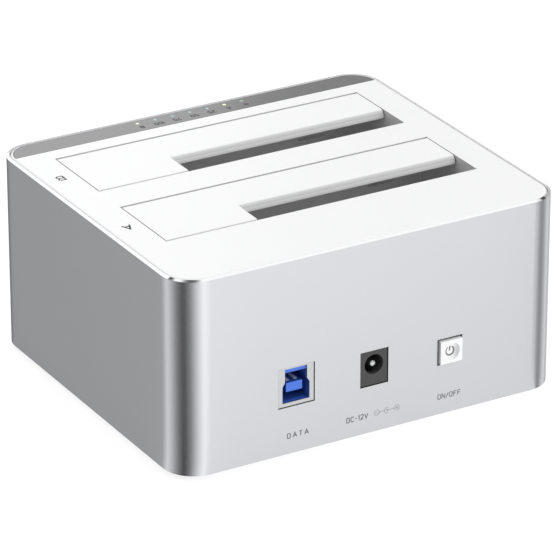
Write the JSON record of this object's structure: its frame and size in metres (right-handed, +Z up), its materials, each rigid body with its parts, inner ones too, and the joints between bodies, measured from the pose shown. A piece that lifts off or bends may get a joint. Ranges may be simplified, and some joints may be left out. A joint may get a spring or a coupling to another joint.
{
  "type": "hard drive docking station",
  "caption": "Box-shaped desk dock for hard drives: aluminium sleeve, white top with sprung L-shaped doors over the bays, lamp strip in front, data socket, power inlet and button at the rear.",
  "frame": {"origin": "on the floor, under the middle of the housing", "axes": "+Z up, -Y towards the front with the lamp strip, +Y towards the rear with the sockets, +X to the right seen from the front"},
  "size_m": [0.128, 0.114, 0.0624],
  "materials": {
    "anodised_aluminium": "fine blasted and anodised, with a polished bevel",
    "white_panel": "smooth white moulding",
    "white_base": "fine moulded texture",
    "strip_grey": "smooth satin",
    "cage_grey": "moulded",
    "rubber": "matt",
    "steel": "zinc plated",
    "board_green": "solder mask",
    "socket_black": "moulded",
    "contact_gold": "gold plated",
    "port_nickel": "nickel plated",
    "port_blue": "moulded",
    "jack_grey": "moulded",
    "button_white": "smooth",
    "cable_white": "smooth",
    "lamp_green": "clear tinted",
    "lamp_amber": "clear tinted",
    "lamp_blue": "clear tinted"
  },
  "bodies": {
    "housing": {"sleeve": "anodised_aluminium", "top_panel": "white_panel", "indicator_strip": "strip_grey", "drive_cage": "cage_grey", "base_plate": "white_base", "foot_front_left": "rubber", "foot_front_right": "rubber", "foot_rear_left": "rubber", "foot_rear_right": "rubber", "base_screws": "steel", "cage_screws": "steel", "board_screws": "steel", "lamp_board_screws": "steel", "door_pin_a": "steel", "door_pin_b": "steel", "main_board": "board_green", "sata_socket_a": "socket_black", "sata_socket_b": "socket_black", "sata_contacts_a": "contact_gold", "sata_contacts_b": "contact_gold", "usb_shell": "port_nickel", "usb_insert": "port_blue", "usb_contacts": "contact_gold", "dc_jack_body": "jack_grey", "dc_jack_pin": "port_nickel", "dc_jack_spring": "port_nickel", "power_switch": "socket_black", "controller_chip": "socket_black", "power_inductors": "socket_black", "capacitors": "steel", "lamp_board": "board_green", "lamp_leds": "cable_white", "lamp_cable": "cable_white", "cable_sockets": "socket_black", "lamp_power": "lamp_green", "lamp_bay_a": "lamp_amber", "lamp_copy_25": "lamp_blue", "lamp_copy_50": "lamp_blue", "lamp_copy_75": "lamp_blue", "lamp_copy_100": "lamp_blue", "lamp_bay_b": "lamp_amber"},
    "door_a": {"bay_door_a": "white_panel", "door_spring_a": "steel"},
    "door_b": {"bay_door_b": "white_panel", "door_spring_b": "steel"},
    "power_button": {"power_button": "button_white", "power_plunger": "socket_black"}
  },
  "joints": [
    {"name": "door_a_swing", "type": "hinge", "parent": "housing", "child": "door_a", "pos_m": [0, -0.0043, 0.0584], "axis": [-1, 0, 0], "range_deg": [0, 90], "stiffness_Nm_per_rad": 0.004, "springref_deg": -34.38, "deforming": ["door_spring_a"]},
    {"name": "door_b_swing", "type": "hinge", "parent": "housing", "child": "door_b", "pos_m": [0, -0.04505, 0.0584], "axis": [-1, 0, 0], "range_deg": [0, 90], "stiffness_Nm_per_rad": 0.004, "springref_deg": -34.38, "deforming": ["door_spring_b"]},
    {"name": "power_button_push", "type": "slide", "parent": "housing", "child": "power_button", "axis": [0, -1, 0], "range_m": [0, 0.0015], "stiffness_N_per_m": 300, "springref_m": -0.003}
  ]
}
